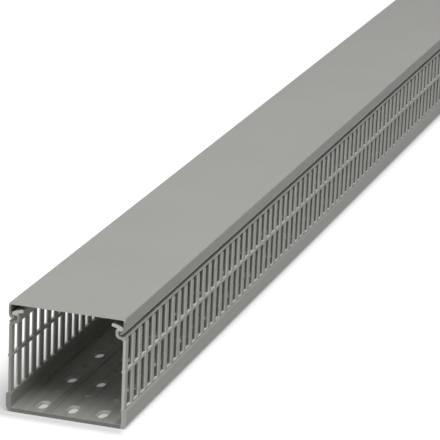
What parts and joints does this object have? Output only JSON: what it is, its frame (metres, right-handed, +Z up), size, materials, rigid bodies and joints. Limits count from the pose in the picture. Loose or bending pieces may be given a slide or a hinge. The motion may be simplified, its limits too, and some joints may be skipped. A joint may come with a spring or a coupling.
{
  "type": "slotted wire duct",
  "caption": "Rectangular slotted wiring duct with a perforated ribbed floor, closed-top slots in two tiers in both side walls, and a cover that clips over the walls.",
  "frame": {"origin": "middle of the length and width, on the underside of the floor", "axes": "+X across the duct, +Y along it from the front end to the far end, +Z up towards the cover"},
  "size_m": [0.08, 2.0012, 0.0725],
  "materials": {
    "base_pvc": "satin",
    "cover_pvc": "satin"
  },
  "bodies": {
    "base": {"duct_base": "base_pvc"},
    "lid": {"cover": "cover_pvc"}
  },
  "joints": [
    {"name": "cover_slide", "type": "slide", "parent": "base", "child": "lid", "axis": [0, 1, 0], "range_m": [-2.01, 2.01]}
  ]
}
